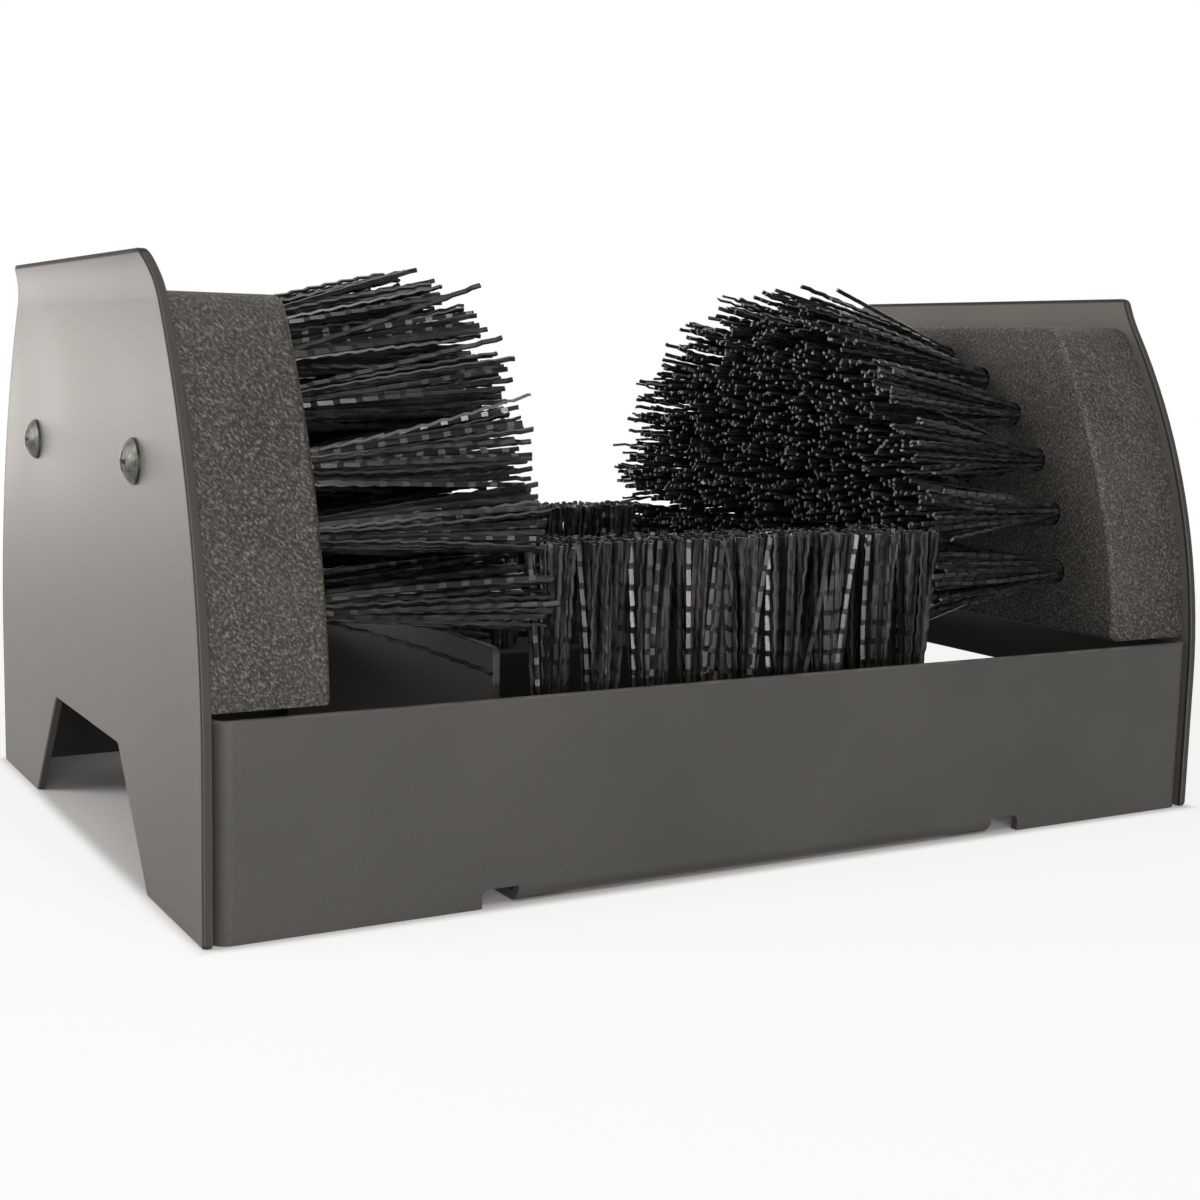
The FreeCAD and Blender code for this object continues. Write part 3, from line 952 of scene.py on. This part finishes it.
@dataclass
class BottomStrips:
    """The two brush strips on the web: blocks and upright bristles. Lengths in millimetres."""

    # Painted shade: the side blocks' pebbled plastic in darker colours, for the strip blocks under
    # the bristles.
    plastic: PebbledPlastic = PebbledPlastic(
        "strip_block_plastic_painted_shade",
        deep=(0.006, 0.006, 0.0055),
        pale=(0.012, 0.012, 0.011),
        fleck=(0.03, 0.03, 0.028),
    )
    nylon: BristleNylon = BristleNylon(
        "strip_bristle_nylon", Lie.UPRIGHT, deep=(0.012, 0.012, 0.0115), pale=(0.064, 0.063, 0.060)
    )
    cut_nylon: CutNylon = CutNylon("strip_bristle_cut_ends", Lie.UPRIGHT)
    outer_count: int = 9
    outer_row: float = 89.0
    row_gap: float = 11.0
    half_length: float = 62.3
    block_top: float = 33.5
    end_splay: float = 1.0
    hole_radius: float = 3.9
    tip_radius: float = 7.2
    bristles_in_tuft: int = 38
    wander: float = 1.0
    stray_share: float = 0.08
    trim: float = 0.5
    crimp_lean: float = 0.35
    crimp_spread: float = 0.35
    front_height: float = 92.0
    rear_height: float = 86.0
    seed: int = 1000

    def tufts(self, strip: Strip, row: int) -> list[Tuft]:
        """The tufts of one row.

        Args:
            strip: The strip.
            row: 0 for the outer row, 1 for the staggered inner row.

        Returns:
            The row's tufts.
        """
        height = self.front_height if strip is Strip.FRONT else self.rear_height
        y = strip.value * (self.outer_row - row * self.row_gap)
        half = self.half_length * (1 - row / (self.outer_count - 1))
        return [
            Tuft(
                hole=(x, y, self.block_top),
                tip=(x + self.end_splay * x / self.half_length, y, height),
                hole_radius=self.hole_radius,
                tip_radius=self.tip_radius,
                count=self.bristles_in_tuft,
                wander=self.wander,
                stray_share=self.stray_share,
                trim=self.trim,
                crimp_way=(self.crimp_lean * strip.value, strip.value, 0.0),
                crimp_spread=self.crimp_spread,
            )
            for x in np.linspace(-half, half, self.outer_count - row)
        ]

    def build(self, stock: Stock) -> None:
        """Dress the strips' blocks and make their bristles.

        Args:
            stock: The wire that the bristles are cut from.
        """
        block, nylon, cut = (f.material() for f in (self.plastic, self.nylon, self.cut_nylon))
        for strip in Strip:
            dress(strip.piece("block"), block)
            for row, row_name in enumerate(("outer_row", "inner_row")):
                chance = np.random.default_rng(self.seed * (strip.value + 2) + row)
                name = strip.piece(f"bristles_{row_name}")
                made = bristle_mesh(name, self.tufts(strip, row), stock, chance)
                stand_in_for(made, strip.piece(f"tufts_{row_name}"), nylon, cut)


@dataclass(frozen=True)
class StudioFloor(Finish):
    """A pale floor that is nearly white to the camera and keeps the object's shadow.

    It is clear from below, and under the web to all but the camera. Reflections see it white
    behind the object and dimmer in front. Lengths are in metres.
    """

    pale: Colour = (0.86, 0.86, 0.86)
    lit_share: float = 0.8
    fade: Range = (0.35, 0.9)
    mirrored_front: float = 0.2
    mirrored_range: Range = (-0.05, 0.1)
    half_length: float = 0.163
    half_depth: float = 0.109
    web_half: float = 0.064
    soft_rim: float = 0.006

    def beyond(self, wiring: Wiring, along: Value, half: float) -> Value:
        """0 within a half length either side of the middle, and 1 a soft rim further out."""
        return wiring.step(abs(along), half, half + self.soft_rim)

    def surface(self, wiring: Wiring) -> Value:
        """Wire the floor.

        Args:
            wiring: The material's nodes.

        Returns:
            The floor's shader.
        """
        x, y, _ = wiring.axes()
        away = wiring.step((x * x + y * y) ** 0.5, *self.fade)
        matt = wiring.node("ShaderNodeBsdfDiffuse", {}, {"Color": (*self.pale, 1.0)})
        glow = wiring.node("ShaderNodeEmission", {}, {"Color": (*WHITE, 1.0), "Strength": 1.0})
        camera = wiring.ray("Camera")
        behind = wiring.step(y, *self.mirrored_range) * (1 - self.mirrored_front)
        seen_by = camera.at_least(wiring.ray("Glossy") * (behind + self.mirrored_front))
        outside = self.beyond(wiring, x, self.half_length)
        outside = outside.at_least(self.beyond(wiring, y, self.half_depth))
        share = seen_by * (self.lit_share + away * (1 - self.lit_share)) * outside
        seen = wiring.node("ShaderNodeMixShader", {}, {0: share, 1: matt, 2: glow})
        below = wiring.node("ShaderNodeNewGeometry", {}, {}, "Backfacing")
        under_web = (1.0 - outside) * (1.0 - self.beyond(wiring, x, self.web_half))
        open_share = below.at_least(under_web * (1.0 - camera))
        clear = wiring.node("ShaderNodeBsdfTransparent", {}, {})
        return wiring.node("ShaderNodeMixShader", {}, {0: open_share, 1: seen, 2: clear})


@dataclass(frozen=True)
class Softbox:
    """A rectangle of soft light that faces the object. Lengths in metres, power in watts."""

    name: str
    place: Point
    width: float
    height: float
    power: float
    aim: Point = (0, 0, 0.06)
    colour: Colour = WARM_WHITE

    def build(self) -> None:
        """Hang the light and turn it to what it lights."""
        light = bpy.data.lights.new(self.name, "AREA")
        light.shape, light.size, light.size_y = "RECTANGLE", self.width, self.height
        light.energy = self.power
        light.color = self.colour
        made = bpy.data.objects.new(self.name, light)
        made.location = self.place
        way = Vector(self.aim) - Vector(self.place)
        made.rotation_euler = way.to_track_quat("-Z", "Y").to_euler()
        bpy.context.scene.collection.objects.link(made)
        LOG.info("%s: %.1f W", self.name, self.power)


@dataclass
class Studio:
    """The floor, the white surroundings and the soft lights. Lengths are in metres."""

    floor_finish: StudioFloor = StudioFloor("studio_floor_paper")
    floor_half: float = 2.5
    ambient: float = 0.22
    front_strength: float = 0.3
    backdrop: Point = (-0.35, 0.9, 0.25)
    backdrop_range: Range = (-0.5, 0.5)
    lights: tuple[Softbox, ...] = (
        Softbox("left_softbox", (-1.4, 0.25, 0.55), 0.8, 0.8, 15),
        Softbox("low_back_striplight", (-0.4, 1.25, 0.1), 0.8, 0.18, 3, (-0.16, 0, 0.06)),
        Softbox("low_front_striplight", (-0.17, -1.1, 0.12), 0.34, 0.035, 3.7),
        Softbox("front_softbox", (-0.55, -1.3, 0.45), 0.6, 0.7, 4.6),
        Softbox("high_front_striplight", (-0.05, -0.75, 1.15), 0.1, 0.6, 4.4, (0, 0, 0.1)),
        Softbox("top_softbox", (0.1, 0.1, 1.3), 0.8, 0.8, 2.5, (0, 0, 0.1)),
    )

    def floor(self) -> None:
        """Lay the floor."""
        half = self.floor_half
        corners = [(-half, -half, 0), (half, -half, 0), (half, half, 0), (-half, half, 0)]
        mesh = bpy.data.meshes.new("studio_floor")
        mesh.from_pydata(corners, [], [(0, 1, 2, 3)])
        mesh.materials.append(self.floor_finish.material())
        made = bpy.data.objects.new("studio_floor", mesh)
        bpy.context.scene.collection.objects.link(made)

    def surroundings(self) -> None:
        """Make the surroundings white to the camera, and dimmer in front to reflections."""
        world = bpy.data.worlds.new("studio_surroundings")
        world.use_nodes = True
        bpy.context.scene.world = world
        wiring = Wiring(world.node_tree)
        way = wiring.node("ShaderNodeTexCoord", {}, {}, "Generated")
        product = {"operation": "DOT_PRODUCT"}
        behind = wiring.node("ShaderNodeVectorMath", product, {0: way, 1: self.backdrop}, "Value")
        shade = wiring.step(behind, *self.backdrop_range) * (1 - self.front_strength)
        dim, mirrored, white = (
            wiring.node("ShaderNodeBackground", {}, {"Color": (*colour, 1.0), "Strength": strength})
            for colour, strength in (
                (WARM_WHITE, self.ambient),
                (WARM_WHITE, shade + self.front_strength),
                (WHITE, 1.0),
            )
        )
        reflects = wiring.ray("Glossy").at_least(wiring.ray("Transmission"))
        reflected = wiring.node("ShaderNodeMixShader", {}, {0: reflects, 1: dim, 2: mirrored})
        camera = wiring.ray("Camera")
        both = wiring.node("ShaderNodeMixShader", {}, {0: camera, 1: reflected, 2: white})
        wiring.node("ShaderNodeOutputWorld", {}, {"Surface": both})

    def build(self) -> None:
        """Set up the studio."""
        bpy.context.scene.view_settings.view_transform = "Standard"
        self.floor()
        self.surroundings()
        for light in self.lights:
            light.build()


@dataclass(frozen=True)
class StudioCamera:
    """The camera, where the photograph was taken from.

    Angles are in degrees, the lens and the sensor in millimetres, other lengths in metres.
    """

    place: Point = (-0.28876, -0.50569, 0.14131)
    yaw: float = -30.126
    pitch: float = 7.779
    roll: float = 1.413
    lens: float = 53.32
    sensor: float = 36.0
    clip: Range = (0.01, 20.0)

    def build(self) -> None:
        """Set up the camera and make it the scene's own."""
        yaw, pitch, roll = (math.radians(a) for a in (self.yaw, self.pitch, self.roll))
        level = math.cos(pitch)
        back = Vector((math.sin(yaw) * level, -math.cos(yaw) * level, math.sin(pitch)))
        right = (-back).cross(Vector((0, 0, 1))).normalized()
        up = right.cross(-back)
        turned_right = right * math.cos(roll) + up * math.sin(roll)
        turned_up = up * math.cos(roll) - right * math.sin(roll)
        camera = bpy.data.cameras.new("studio_camera")
        camera.lens, camera.sensor_width = self.lens, self.sensor
        camera.clip_start, camera.clip_end = self.clip
        made = bpy.data.objects.new("studio_camera", camera)
        turn = Matrix((turned_right, turned_up, back)).transposed()
        made.matrix_world = Matrix.Translation(Vector(self.place)) @ turn.to_4x4()
        bpy.context.scene.collection.objects.link(made)
        bpy.context.scene.camera = made


def write_sizes() -> None:
    """Update the view layer."""
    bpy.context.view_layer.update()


def main() -> None:
    """Set up the studio, and dress the boot scrubber piece by piece."""
    logging.basicConfig(level=logging.INFO, format="%(name)s: %(message)s")
    StudioCamera().build()
    Studio().build()
    Stand().build()
    Fixings().build()
    stock = Stock()
    SideBrushes().build(stock)
    BottomStrips().build(stock)
    write_sizes()


if __name__ == "__main__":
    main()
